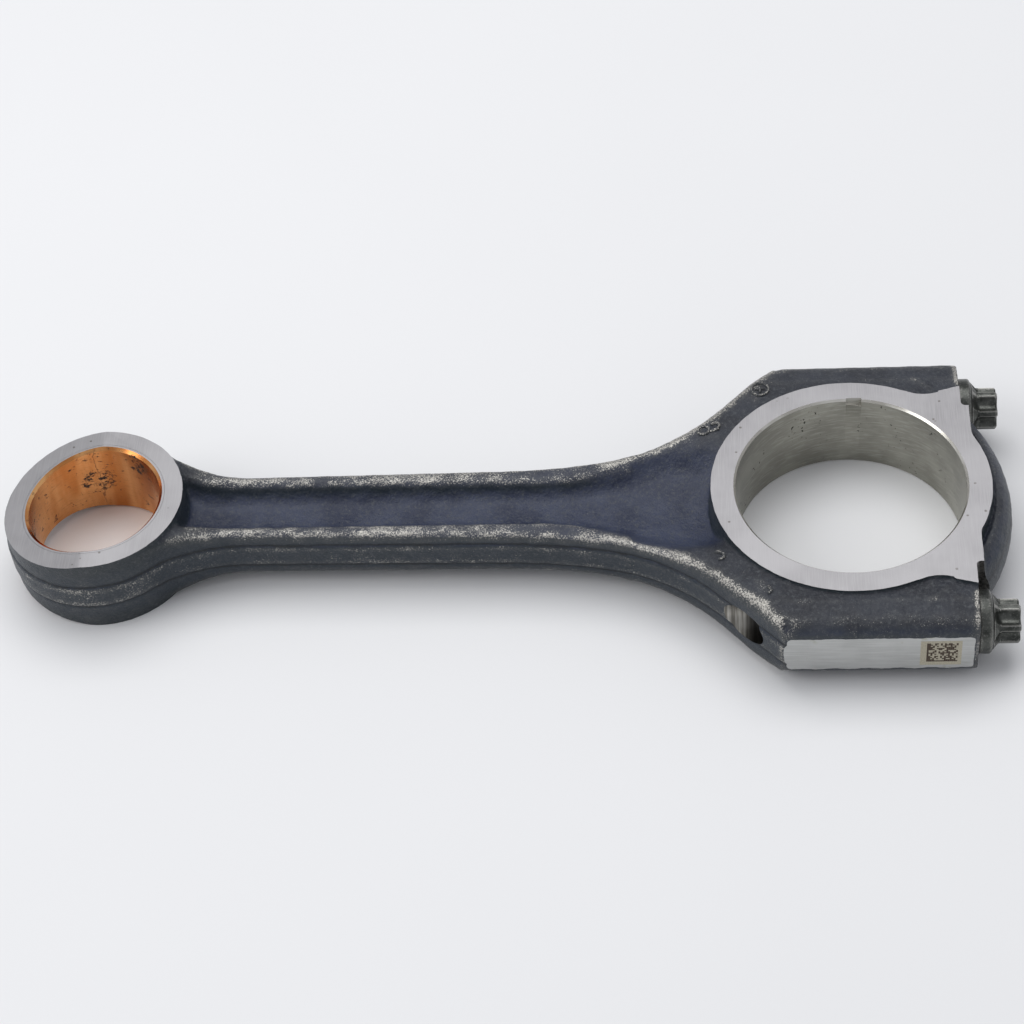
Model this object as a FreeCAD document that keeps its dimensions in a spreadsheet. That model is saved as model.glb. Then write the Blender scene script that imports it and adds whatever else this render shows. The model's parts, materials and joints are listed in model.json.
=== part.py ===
import FreeCAD, Part
import math
import os
import Sketcher
from FreeCAD import Vector

# Fracture-split connecting rod of a small engine, lying flat.
# Millimetres.  The origin is the middle of the big-end bore, +Z runs along both
# bores and +X points away from the small end, through the bearing cap.

SIZES = {
    # bores and their distance apart
    "centre_distance": 168.0,
    "big_bore_radius": 25.0,
    "big_bore_chamfer": 0.45,
    "pin_bore_radius": 15.0,
    "pin_bore_chamfer": 0.7,
    "bush_outer_radius": 16.25,
    # heights above the middle plane
    "machined_half": 10.0,
    "forged_half": 9.0,
    "web_half": 2.0,
    "spine_half": 8.0,
    # small end
    "small_end_radius": 20.2,
    "small_end_taper": 9.1,
    "small_end_clear_x": 192.0,
    # shank seen from above
    "neck_blend_radius": 40.0,
    "neck_half_width": 9.4,
    "waist_half_width": 10.2,
    "waist_x": 77.0,
    "flare_radius": 140.0,
    "shoulder_radius": 48.0,
    "shoulder_angle": 45.6,
    "pad_corner_x": 15.1,
    "pad_corner_radius": 1.5,
    # shank seen from the side
    "rib_clear_z": 12.0,
    "rib_start_x": 150.0,
    "rib_neck_x": 134.0,
    "rib_neck_half": 6.5,
    "rib_low_x": 62.0,
    "rib_low_half": 6.0,
    "rib_end_x": 20.0,
    # channel between the ribs, at the level of the web
    "channel_start_x": 145.5,
    "channel_half_width": 4.6,
    "channel_flare_x": 70.0,
    "channel_flare_radius": 70.0,
    "channel_turn_x": 48.0,
    "channel_turn_radius": 43.0,
    "channel_end_x": 34.0,
    "channel_draft": 20.0,
    # big end
    "ring_radius": 30.4,
    "pad_y": 39.3,
    "pad_half": 5.5,
    "forged_slope_y": 32.0,
    "forged_edge_y": 37.2,
    "forged_edge_half": 8.0,
    # cap
    "seat_x": 25.3,
    "seat_wall_y": 22.7,
    "cap_corner_radius": 1.0,
    "spine_root_x": 20.0,
    "spine_x": 35.1,
    "spine_radius": 43.0,
    "spine_edge_radius": 4.5,
    "face_waist_x": 17.4,
    "face_waist_radius": 9.7,
    "face_horn_y": 28.7,
    "face_outer_x": 26.95,
    # bearing tang slot
    "tang_width": 3.4,
    "tang_root_y": 24.0,
    "tang_top_y": 26.2,
    "tang_low_z": 4.6,
    "tang_height": 6.0,
    # bolts and their holes
    "bolt_y": 31.0,
    "thread_hole_radius": 4.05,
    "relief_hole_radius": 4.2,
    "relief_start_x": 17.0,
    "cap_hole_radius": 4.07,
    "bolt_tip_x": 15.5,
    "bolt_tip_radius": 3.2,
    "thread_start_x": 14.7,
    "thread_radius": 4.0,
    "thread_end_x": 3.0,
    "waist_start_x": 4.0,
    "waist_radius": 3.5,
    "waist_end_x": 19.0,
    "guide_start_x": 20.0,
    "flange_radius": 6.85,
    "flange_rim_x": 27.5,
    "flange_top_x": 28.5,
    "flange_top_radius": 5.9,
    "head_radius": 4.71,
    "head_edge_x": 33.7,
    "head_end_x": 34.2,
    "head_end_radius": 4.21,
    "lobe_cut_radius": 1.75,
    "lobe_cut_centre": 4.98,
}

doc = FreeCAD.newDocument("connecting_rod")
sheet = doc.addObject("Spreadsheet::Sheet", "sizes")
for row, (name, number) in enumerate(SIZES.items(), start=1):
    sheet.set("A%d" % row, name)
    sheet.set("B%d" % row, str(number))
    sheet.setAlias("B%d" % row, name)
doc.recompute()

END = 2
START = 1
CENTRE = 3
ORIGIN = (-1, 1)
X_AXIS = -1
Y_AXIS = -2


def size_of(name):
    """Read one driving size back from the sheet."""
    return float(getattr(sheet, name))


def make_body(label):
    body = doc.addObject("PartDesign::Body", label)
    body.Label = label
    return body


def plane_of(body, role):
    return [feature for feature in body.Origin.OriginFeatures if feature.Role == role][0]


def make_sketch(body, name, role):
    sketch = body.newObject("Sketcher::SketchObject", name)
    sketch.AttachmentSupport = [(plane_of(body, role), "")]
    sketch.MapMode = "FlatFace"
    return sketch


def line(sketch, start, end):
    return sketch.addGeometry(Part.LineSegment(Vector(*start, 0), Vector(*end, 0)), False)


def circle(sketch, centre, radius):
    return sketch.addGeometry(Part.Circle(Vector(*centre, 0), Vector(0, 0, 1), radius), False)


def arc(sketch, centre, radius, start_angle, end_angle):
    """Counter-clockwise arc, angles in degrees."""
    whole = Part.Circle(Vector(*centre, 0), Vector(0, 0, 1), radius)
    part = Part.ArcOfCircle(whole, math.radians(start_angle), math.radians(end_angle))
    return sketch.addGeometry(part, False)


def rule(sketch, kind, *where):
    sketch.addConstraint(Sketcher.Constraint(kind, *where))


def drive(sketch, kind, *where, by, factor=1.0):
    """Add a dimension and bind it to a size of the sheet."""
    value = size_of(by) * factor
    if kind == "Angle":
        value = math.radians(value)
    index = sketch.addConstraint(Sketcher.Constraint(kind, *where, value))
    formula = "sizes.%s" % by
    if factor != 1.0:
        formula = "%s * %g" % (formula, factor)
    if kind == "Angle":
        formula = "%s * 1 deg" % formula
    sketch.setExpression("Constraints[%d]" % index, formula)


def join(sketch, kind, corners):
    """Join edges end to end: corners is a list of (edge, point, edge, point)."""
    for corner in corners:
        rule(sketch, kind, *corner)


def place_corner(sketch, edge, x, y):
    """Fix the start of an edge: x and y are sizes of the sheet, "-size" or "0"."""
    for kind, name, zero_line in (("DistanceX", x, Y_AXIS), ("DistanceY", y, X_AXIS)):
        if name == "0":
            rule(sketch, "PointOnObject", edge, START, zero_line)
        elif name.startswith("-"):
            drive(sketch, kind, edge, START, *ORIGIN, by=name[1:])
        else:
            drive(sketch, kind, *ORIGIN, edge, START, by=name)


def coordinate(name):
    if name == "0":
        return 0.0
    if name.startswith("-"):
        return -size_of(name[1:])
    return size_of(name)


def polygon(sketch, corners):
    """Closed outline through corners given as pairs of size names."""
    spots = [(coordinate(x), coordinate(y)) for x, y in corners]
    edges = []
    for spot, following in zip(spots, spots[1:] + spots[:1]):
        edges.append(line(sketch, spot, following))
    for edge, following in zip(edges, edges[1:] + edges[:1]):
        rule(sketch, "Coincident", edge, END, following, START)
    for edge, (x, y) in zip(edges, corners):
        place_corner(sketch, edge, x, y)
    return edges


def place_circle(sketch, x, y, radius):
    ring = circle(sketch, (coordinate(x), coordinate(y)), size_of(radius))
    for kind, name, zero_line in (("DistanceX", x, Y_AXIS), ("DistanceY", y, X_AXIS)):
        if name == "0":
            rule(sketch, "PointOnObject", ring, CENTRE, zero_line)
        elif name.startswith("-"):
            drive(sketch, kind, ring, CENTRE, *ORIGIN, by=name[1:])
        else:
            drive(sketch, kind, *ORIGIN, ring, CENTRE, by=name)
    drive(sketch, "Radius", ring, by=radius)
    return ring


def shift_sketch(sketch, formula):
    """Move a sketch along its normal by a formula of the sheet."""
    sketch.setExpression("AttachmentOffset.Base.z", formula)


def pad(body, sketch, name, both_sides_by):
    """Pad a sketch of the middle plane to the same height on both sides."""
    feature = body.newObject("PartDesign::Pad", name)
    feature.Profile = sketch
    feature.SideType = "Symmetric"
    feature.setExpression("Length", "2 * sizes.%s" % both_sides_by)
    return feature


def cut_through(body, sketch, name):
    """Cut a profile right through the body, both ways from its plane."""
    feature = body.newObject("PartDesign::Pocket", name)
    feature.Profile = sketch
    feature.SideType = "Symmetric"
    feature.Length = 400.0
    return feature


def cut_one_way(body, sketch, name, along_normal):
    """Cut everything on one side of the sketch plane."""
    feature = body.newObject("PartDesign::Pocket", name)
    feature.Profile = sketch
    feature.Type = "ThroughAll"
    feature.Reversed = along_normal
    return feature


def mirror(body, originals, role, name):
    feature = body.newObject("PartDesign::Mirrored", name)
    feature.Originals = originals
    feature.MirrorPlane = (plane_of(body, role), [""])
    body.Tip = feature
    return feature


def round_edges(body, name, chosen, by):
    """Fillet the edges of the body picked by the test `chosen`."""
    doc.recompute()
    base = body.Tip
    names = [
        "Edge%d" % number
        for number, edge in enumerate(base.Shape.Edges, start=1)
        if chosen(edge)
    ]
    feature = body.newObject("PartDesign::Fillet", name)
    feature.Base = (base, names)
    feature.setExpression("Radius", "sizes.%s" % by)
    return feature


def chamfer_bore(body, name, bore_radius, by):
    """Chamfer both rims of the bore with the given radius."""
    doc.recompute()
    base = body.Tip
    names = []
    for number, edge in enumerate(base.Shape.Edges, start=1):
        if on_bore_rim(edge, bore_radius):
            names.append("Edge%d" % number)
    feature = body.newObject("PartDesign::Chamfer", name)
    feature.Base = (base, names)
    feature.setExpression("Size", "sizes.%s" % by)
    return feature


def on_bore_rim(edge, bore_radius):
    """True for an arc around a bore that lies on an end face, not on the wall."""
    box = edge.BoundBox
    if max(box.XLength, box.YLength) < bore_radius:
        return False
    for centre_x in (0.0, -size_of("centre_distance")):
        points = edge.discretize(5)
        reach = [math.hypot(point.x - centre_x, point.y) for point in points]
        if max(abs(distance - bore_radius) for distance in reach) < 0.001:
            return True
    return False


def rod_outline(body):
    """Half of the forging seen from above, from the small end to the split plane."""
    sketch = make_sketch(body, "rod_outline", "XY_Plane")
    pad_y = size_of("pad_y")
    small_x = -size_of("centre_distance")
    neck_y = size_of("neck_half_width")
    waist_y = size_of("waist_half_width")
    axis = line(sketch, (small_x, 0), (0, 0))
    split = line(sketch, (0, 0), (0, pad_y))
    side = line(sketch, (0, pad_y), (-15.1, pad_y))
    corner = arc(sketch, (-15.1, 37.8), 1.5, 90, 135)
    slope = line(sketch, (-28.0, 26.0), (-16.2, 38.85))
    shoulder = arc(sketch, (-62.0, 59.5), 48, 279, 316)
    flare = arc(sketch, (-77.0, 150.2), 140, 270, 279)
    flank = line(sketch, (-77.0, waist_y), (-133.6, neck_y))
    neck = arc(sketch, (-133.6, 49.4), 40, 235, 270)
    spoke = line(sketch, (-156.4, 16.6), (small_x, 0))
    join(sketch, "Coincident", [
        (axis, END, split, START),
        (split, END, side, START),
        (neck, START, spoke, START),
        (spoke, END, axis, START),
    ])
    join(sketch, "Tangent", [
        (side, END, corner, START),
        (corner, END, slope, END),
        (slope, START, shoulder, END),
        (shoulder, START, flare, END),
        (flare, START, flank, START),
        (flank, END, neck, END),
    ])
    rule(sketch, "Coincident", axis, END, *ORIGIN)
    rule(sketch, "Horizontal", axis)
    rule(sketch, "Vertical", split)
    rule(sketch, "Horizontal", side)
    rule(sketch, "PointOnObject", neck, CENTRE, spoke)
    drive(sketch, "DistanceX", axis, START, *ORIGIN, by="centre_distance")
    drive(sketch, "DistanceY", *ORIGIN, side, START, by="pad_y")
    drive(sketch, "DistanceX", side, END, *ORIGIN, by="pad_corner_x")
    drive(sketch, "Radius", corner, by="pad_corner_radius")
    drive(sketch, "Angle", X_AXIS, slope, by="shoulder_angle")
    drive(sketch, "Radius", shoulder, by="shoulder_radius")
    drive(sketch, "Radius", flare, by="flare_radius")
    drive(sketch, "DistanceX", flank, START, *ORIGIN, by="waist_x")
    drive(sketch, "DistanceY", *ORIGIN, flank, START, by="waist_half_width")
    drive(sketch, "DistanceY", *ORIGIN, flank, END, by="neck_half_width")
    drive(sketch, "Radius", neck, by="neck_blend_radius")
    drive(sketch, "Distance", spoke, by="small_end_radius")
    return sketch


def rib_relief(body):
    """Side view of the metal cleared above the shank ribs."""
    sketch = make_sketch(body, "rib_relief", "XZ_Plane")
    corners = [
        ("-rib_end_x", "forged_half"),
        ("-rib_end_x", "rib_clear_z"),
        ("-rib_start_x", "rib_clear_z"),
        ("-rib_start_x", "forged_half"),
        ("-rib_neck_x", "rib_neck_half"),
        ("-rib_low_x", "rib_low_half"),
    ]
    spots = [(coordinate(x), coordinate(y)) for x, y in corners]
    right = line(sketch, spots[0], spots[1])
    top = line(sketch, spots[1], spots[2])
    left = line(sketch, spots[2], spots[3])
    small_end_rise = arc(sketch, (-134.4, 58.5), 52.0, 252.5, 270.4)
    crest = line(sketch, spots[4], spots[5])
    big_end_rise = arc(sketch, (-64.0, 301.5), 295.5, 270.4, 278.4)
    join(sketch, "Coincident", [
        (right, END, top, START),
        (top, END, left, START),
        (left, END, small_end_rise, START),
        (big_end_rise, END, right, START),
    ])
    join(sketch, "Tangent", [
        (small_end_rise, END, crest, START),
        (crest, END, big_end_rise, START),
    ])
    for edge, corner in ((right, 0), (top, 1), (left, 2), (crest, 4)):
        place_corner(sketch, edge, *corners[corner])
    place_corner(sketch, small_end_rise, *corners[3])
    place_corner(sketch, big_end_rise, *corners[5])
    return sketch


def channel_outline(body):
    """Floor of the channel: a long slot that widens towards the big end."""
    sketch = make_sketch(body, "channel_floor", "XY_Plane")
    shift_sketch(sketch, "sizes.web_half")
    half = size_of("channel_half_width")
    start_x = -size_of("channel_start_x")
    round_end = arc(sketch, (start_x, 0), half, 90, 270)
    edges = {}
    for side in (1, -1):
        wall = line(sketch, (start_x, side * half), (-70.0, side * half))
        if side > 0:
            flare = arc(sketch, (-70.0, 74.6), 70.0, 270, 288)
            turn = arc(sketch, (-35.0, -32.0), 43.0, 90, 108)
        else:
            flare = arc(sketch, (-70.0, -74.6), 70.0, 72, 90)
            turn = arc(sketch, (-35.0, 32.0), 43.0, 252, 270)
        edges[side] = (wall, flare, turn)
    wall, flare, turn = edges[1]
    low_wall, low_flare, low_turn = edges[-1]
    end = line(sketch, (-34.0, 11.0), (-34.0, -11.0))
    join(sketch, "Tangent", [
        (round_end, START, wall, START),
        (wall, END, flare, START),
        (flare, END, turn, END),
        (round_end, END, low_wall, START),
        (low_wall, END, low_flare, END),
        (low_flare, START, low_turn, START),
    ])
    join(sketch, "Coincident", [
        (turn, START, end, START),
        (low_turn, END, end, END),
    ])
    rule(sketch, "PointOnObject", round_end, CENTRE, X_AXIS)
    drive(sketch, "Radius", round_end, by="channel_half_width")
    drive(sketch, "DistanceX", round_end, CENTRE, *ORIGIN, by="channel_start_x")
    for wall_edge, flare_arc, flare_end, turn_arc, turn_end in (
        (wall, flare, END, turn, START),
        (low_wall, low_flare, START, low_turn, END),
    ):
        rule(sketch, "Horizontal", wall_edge)
        drive(sketch, "DistanceX", wall_edge, END, *ORIGIN, by="channel_flare_x")
        drive(sketch, "Radius", flare_arc, by="channel_flare_radius")
        drive(sketch, "DistanceX", flare_arc, flare_end, *ORIGIN, by="channel_turn_x")
        drive(sketch, "Radius", turn_arc, by="channel_turn_radius")
        drive(sketch, "DistanceX", turn_arc, turn_end, *ORIGIN, by="channel_end_x")
    return sketch


def small_end_wedge(body):
    """Side view of the wedge cut off the outer half of the small end."""
    sketch = make_sketch(body, "small_end_wedge", "XZ_Plane")
    low_z = size_of("machined_half") - 3.8
    top = line(sketch, (-168.0, 10.0), (-192.0, 10.0))
    back = line(sketch, (-192.0, 10.0), (-192.0, low_z))
    slope = line(sketch, (-192.0, low_z), (-168.0, 10.0))
    join(sketch, "Coincident", [
        (top, END, back, START),
        (back, END, slope, START),
        (slope, END, top, START),
    ])
    rule(sketch, "Horizontal", top)
    rule(sketch, "Vertical", back)
    place_corner(sketch, top, "-centre_distance", "machined_half")
    drive(sketch, "DistanceX", back, START, *ORIGIN, by="small_end_clear_x")
    drive(sketch, "Angle", X_AXIS, slope, by="small_end_taper")
    return sketch


def taper_small_end(body):
    wedge = cut_through(body, small_end_wedge(body), "small_end_taper")
    mirror(body, [wedge], "XY_Plane", "small_end_taper_below")


def half_ring(body):
    sketch = make_sketch(body, "ring_outline", "XY_Plane")
    radius = size_of("ring_radius")
    rim = arc(sketch, (0, 0), radius, 90, 270)
    split = line(sketch, (0, -radius), (0, radius))
    join(sketch, "Coincident", [
        (rim, END, split, START),
        (split, END, rim, START),
        (rim, CENTRE, *ORIGIN),
    ])
    rule(sketch, "Vertical", split)
    rule(sketch, "PointOnObject", split, START, Y_AXIS)
    drive(sketch, "Radius", rim, by="ring_radius")
    return sketch


def cut_bore(body, name, x, radius):
    sketch = make_sketch(body, name + "_circle", "XY_Plane")
    place_circle(sketch, x, "0", radius)
    return cut_through(body, sketch, name)


def bolt_circles(body, name, radius, shift=None):
    """One circle on each bolt axis, in the plane across the rod."""
    sketch = make_sketch(body, name, "YZ_Plane")
    place_circle(sketch, "bolt_y", "0", radius)
    place_circle(sketch, "-bolt_y", "0", radius)
    if shift:
        shift_sketch(sketch, shift)
    return sketch


def bevel_pad_edges(body):
    """Drafted strips that lead from the forged faces down to the flat side pads."""
    sketch = make_sketch(body, "pad_bevels", "YZ_Plane")
    for side in ("", "-"):
        for up in ("", "-"):
            polygon(sketch, [
                (side + "pad_y", up + "pad_half"),
                (side + "pad_y", up + "forged_half"),
                (side + "forged_slope_y", up + "forged_half"),
                (side + "forged_edge_y", up + "forged_edge_half"),
            ])
    cut_through(body, sketch, "pad_bevel_cut")


def build_rod_body():
    body = make_body("rod_body")
    forging = pad(body, rod_outline(body), "forging", "forged_half")
    mirror(body, [forging], "XZ_Plane", "forging_other_half")
    ribs = cut_through(body, rib_relief(body), "rib_height")
    mirror(body, [ribs], "XY_Plane", "rib_height_below")
    channel = cut_one_way(body, channel_outline(body), "channel", True)
    channel.setExpression("TaperAngle", "sizes.channel_draft")
    mirror(body, [channel], "XY_Plane", "channel_below")
    eye = make_sketch(body, "small_end_outline", "XY_Plane")
    place_circle(eye, "-centre_distance", "0", "small_end_radius")
    pad(body, eye, "small_end", "machined_half")
    taper_small_end(body)
    pad(body, half_ring(body), "big_end_ring", "machined_half")
    bevel_pad_edges(body)
    cut_bore(body, "bush_seat", "-centre_distance", "bush_outer_radius")
    cut_bore(body, "big_end_bore", "0", "big_bore_radius")
    threads = bolt_circles(body, "thread_circles", "thread_hole_radius")
    cut_one_way(body, threads, "bolt_threads", False)
    relief = bolt_circles(
        body, "relief_circles", "relief_hole_radius", "-sizes.relief_start_x"
    )
    cut_one_way(body, relief, "bolt_relief", False)
    chamfer_bore(body, "bore_chamfer", size_of("big_bore_radius"), "big_bore_chamfer")
    return body


def cap_block_outline(body):
    sketch = make_sketch(body, "cap_outline", "XY_Plane")
    polygon(sketch, [
        ("0", "0"),
        ("face_outer_x", "0"),
        ("face_outer_x", "seat_wall_y"),
        ("seat_x", "seat_wall_y"),
        ("seat_x", "pad_y"),
        ("0", "pad_y"),
    ])
    return sketch


def spine_outline(body):
    """Half of the crescent that stiffens the crown of the cap."""
    sketch = make_sketch(body, "spine_outline", "XY_Plane")
    root_x = size_of("spine_root_x")
    wall_y = size_of("seat_wall_y")
    centre = (size_of("spine_x") - size_of("spine_radius"), 0)
    axis = line(sketch, (root_x, 0), (size_of("spine_x"), 0))
    crown = arc(sketch, centre, size_of("spine_radius"), 0, 37.7)
    side = line(sketch, (27.3, wall_y), (root_x, wall_y))
    root = line(sketch, (root_x, wall_y), (root_x, 0))
    join(sketch, "Coincident", [
        (axis, END, crown, START),
        (crown, END, side, START),
        (side, END, root, START),
        (root, END, axis, START),
    ])
    rule(sketch, "PointOnObject", crown, CENTRE, X_AXIS)
    rule(sketch, "Horizontal", side)
    rule(sketch, "Horizontal", axis)
    place_corner(sketch, axis, "spine_root_x", "0")
    place_corner(sketch, root, "spine_root_x", "seat_wall_y")
    drive(sketch, "DistanceX", *ORIGIN, axis, END, by="spine_x")
    drive(sketch, "Radius", crown, by="spine_radius")
    return sketch


def cap_face_outline(body):
    """Half of the machined face of the cap, waisted beside the bolt seat."""
    sketch = make_sketch(body, "cap_face_outline", "XY_Plane")
    radius = size_of("ring_radius")
    outer_x = size_of("face_outer_x")
    seat_x = size_of("seat_x")
    wall_y = size_of("seat_wall_y")
    axis = line(sketch, (0, 0), (radius, 0))
    crown = arc(sketch, (0, 0), radius, 0, 27.6)
    flat = line(sketch, (outer_x, 14.1), (outer_x, wall_y))
    step = line(sketch, (outer_x, wall_y), (seat_x, wall_y))
    edge = line(sketch, (seat_x, wall_y), (seat_x, 28.7))
    horn = line(sketch, (seat_x, 28.7), (21.0, 27.1))
    waist = arc(sketch, (17.4, 36.1), 9.7, 244, 292)
    shoulder = arc(sketch, (0, 0), radius, 64.3, 90)
    split = line(sketch, (0, radius), (0, 0))
    join(sketch, "Coincident", [
        (split, END, axis, START),
        (axis, END, crown, START),
        (crown, END, flat, START),
        (flat, END, step, START),
        (step, END, edge, START),
        (edge, END, horn, START),
        (shoulder, END, split, START),
    ])
    join(sketch, "Tangent", [
        (horn, END, waist, END),
        (waist, START, shoulder, START),
    ])
    rule(sketch, "Coincident", axis, START, *ORIGIN)
    rule(sketch, "Coincident", crown, CENTRE, *ORIGIN)
    rule(sketch, "Coincident", shoulder, CENTRE, *ORIGIN)
    rule(sketch, "Equal", crown, shoulder)
    rule(sketch, "Horizontal", axis)
    rule(sketch, "Vertical", flat)
    rule(sketch, "Horizontal", step)
    rule(sketch, "Vertical", edge)
    rule(sketch, "Vertical", split)
    drive(sketch, "Radius", crown, by="ring_radius")
    drive(sketch, "DistanceX", *ORIGIN, flat, END, by="face_outer_x")
    drive(sketch, "DistanceY", *ORIGIN, flat, END, by="seat_wall_y")
    drive(sketch, "DistanceX", *ORIGIN, edge, START, by="seat_x")
    drive(sketch, "DistanceY", *ORIGIN, edge, END, by="face_horn_y")
    drive(sketch, "Radius", waist, by="face_waist_radius")
    drive(sketch, "DistanceX", *ORIGIN, waist, CENTRE, by="face_waist_x")
    return sketch


def cut_tang_slot(body):
    """Notch in the bore wall, beside the split, that locates a bearing shell."""
    sketch = make_sketch(body, "tang_outline", "XY_Plane")
    shift_sketch(sketch, "sizes.tang_low_z")
    polygon(sketch, [
        ("0", "tang_root_y"),
        ("tang_width", "tang_root_y"),
        ("tang_width", "tang_top_y"),
        ("0", "tang_top_y"),
    ])
    slot = body.newObject("PartDesign::Pocket", "tang_slot")
    slot.Profile = sketch
    slot.Reversed = True
    slot.setExpression("Length", "sizes.tang_height")


def build_big_end_cap():
    body = make_body("big_end_cap")
    block = pad(body, cap_block_outline(body), "cap_block", "forged_half")
    mirror(body, [block], "XZ_Plane", "cap_block_other_half")
    round_edges(body, "cap_corners", is_cap_corner, "cap_corner_radius")
    bevel_pad_edges(body)
    spine = pad(body, spine_outline(body), "spine", "spine_half")
    mirror(body, [spine], "XZ_Plane", "spine_other_half")
    round_edges(body, "spine_rounding", is_spine_edge, "spine_edge_radius")
    face = pad(body, cap_face_outline(body), "cap_face", "machined_half")
    mirror(body, [face], "XZ_Plane", "cap_face_other_half")
    cut_bore(body, "big_end_bore", "0", "big_bore_radius")
    holes = bolt_circles(body, "cap_hole_circles", "cap_hole_radius")
    cut_one_way(body, holes, "cap_holes", True)
    cut_tang_slot(body)
    chamfer_bore(body, "bore_chamfer", size_of("big_bore_radius"), "big_bore_chamfer")
    return body


def is_cap_corner(edge):
    """Upright edges of the cap at the bolt seats."""
    box = edge.BoundBox
    upright = box.ZLength > 2 * size_of("forged_half") - 0.1
    on_seat = abs(box.XMax - size_of("seat_x")) < 0.01
    return upright and on_seat


def is_spine_edge(edge):
    """Curved edges round the outside of the spine."""
    box = edge.BoundBox
    at_face = abs(abs(box.ZMax) - size_of("spine_half")) < 0.01 and box.ZLength < 0.01
    outside = abs(box.XMax - size_of("spine_x")) < 0.01 and box.YLength > 10
    return at_face and outside


def build_small_end_bush():
    body = make_body("small_end_bush")
    sketch = make_sketch(body, "bush_rings", "XY_Plane")
    place_circle(sketch, "-centre_distance", "0", "bush_outer_radius")
    place_circle(sketch, "-centre_distance", "0", "pin_bore_radius")
    pad(body, sketch, "bush", "machined_half")
    taper_small_end(body)
    chamfer_bore(body, "bush_chamfer", size_of("pin_bore_radius"), "pin_bore_chamfer")
    return body


def bolt_profile(body):
    sketch = make_sketch(body, "bolt_profile", "XY_Plane")
    polygon(sketch, [
        ("-bolt_tip_x", "0"),
        ("-bolt_tip_x", "bolt_tip_radius"),
        ("-thread_start_x", "thread_radius"),
        ("thread_end_x", "thread_radius"),
        ("waist_start_x", "waist_radius"),
        ("waist_end_x", "waist_radius"),
        ("guide_start_x", "thread_radius"),
        ("seat_x", "thread_radius"),
        ("seat_x", "flange_radius"),
        ("flange_rim_x", "flange_radius"),
        ("flange_top_x", "flange_top_radius"),
        ("flange_top_x", "head_radius"),
        ("head_edge_x", "head_radius"),
        ("head_end_x", "head_end_radius"),
        ("head_end_x", "0"),
    ])
    return sketch


def build_bolt(label, side):
    """Flanged bolt with a six-lobe head; side is "" or "-" for the sign of Y."""
    body = make_body(label)
    sketch = bolt_profile(body)
    turned = body.newObject("PartDesign::Revolution", "turned_bolt")
    turned.Profile = sketch
    turned.ReferenceAxis = (sketch, ["H_Axis"])
    turned.Angle = 360.0
    lobe = make_sketch(body, "lobe_cut_circle", "YZ_Plane")
    shift_sketch(lobe, "sizes.flange_top_x")
    place_circle(lobe, "lobe_cut_centre", "0", "lobe_cut_radius")
    scallop = cut_one_way(body, lobe, "lobe_cut", True)
    pattern = body.newObject("PartDesign::PolarPattern", "lobes")
    pattern.Originals = [scallop]
    pattern.Axis = (plane_of(body, "X_Axis"), [""])
    pattern.Angle = 360.0
    pattern.Occurrences = 6
    body.Tip = pattern
    body.setExpression("Placement.Base.y", "%ssizes.bolt_y" % side)
    return body


def check_document(bodies):
    """Stop before anything is written if a feature or a shape is not sound."""
    for item in doc.Objects:
        if "Invalid" in item.State or "Error" in item.State:
            raise RuntimeError("%s did not compute" % item.Name)
    for body in bodies:
        if body.Shape.isNull() or not body.Shape.isValid():
            raise RuntimeError("%s has no valid shape" % body.Label)
        if len(body.Shape.Solids) != 1:
            raise RuntimeError("%s is not one solid" % body.Label)


bodies = [
    build_rod_body(),
    build_big_end_cap(),
    build_small_end_bush(),
    build_bolt("cap_bolt_front", "-"),
    build_bolt("cap_bolt_rear", ""),
]
doc.recompute()
check_document(bodies)
os.makedirs("parts", exist_ok=True)
for body in bodies:
    body.Shape.exportStep("parts/%s.step" % body.Label)
    print(body.Label, round(body.Shape.Volume, 1), "mm3")
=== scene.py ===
import json
import math

import bmesh
import bpy
import numpy as np
from mathutils import Matrix, Vector


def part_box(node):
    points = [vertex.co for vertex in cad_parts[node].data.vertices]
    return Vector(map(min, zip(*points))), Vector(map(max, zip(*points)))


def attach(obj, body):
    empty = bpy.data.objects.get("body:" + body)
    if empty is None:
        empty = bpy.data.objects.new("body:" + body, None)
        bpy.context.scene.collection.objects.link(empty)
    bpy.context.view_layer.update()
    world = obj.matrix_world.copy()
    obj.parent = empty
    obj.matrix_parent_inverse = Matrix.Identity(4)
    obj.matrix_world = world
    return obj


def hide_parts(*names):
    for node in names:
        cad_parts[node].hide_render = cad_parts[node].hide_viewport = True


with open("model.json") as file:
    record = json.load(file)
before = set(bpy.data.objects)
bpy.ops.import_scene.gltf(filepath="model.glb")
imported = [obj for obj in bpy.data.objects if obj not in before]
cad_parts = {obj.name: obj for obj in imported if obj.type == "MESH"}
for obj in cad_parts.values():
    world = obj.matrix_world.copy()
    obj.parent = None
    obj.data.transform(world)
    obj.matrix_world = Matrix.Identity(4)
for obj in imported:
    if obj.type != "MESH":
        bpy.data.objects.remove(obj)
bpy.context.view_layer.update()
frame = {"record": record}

# All shapes below are worked out in millimetres in the frame of the CAD model:
# origin in the middle of the big-end bore, +X towards the bearing cap, +Z along the bores.
MM = 0.001

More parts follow.
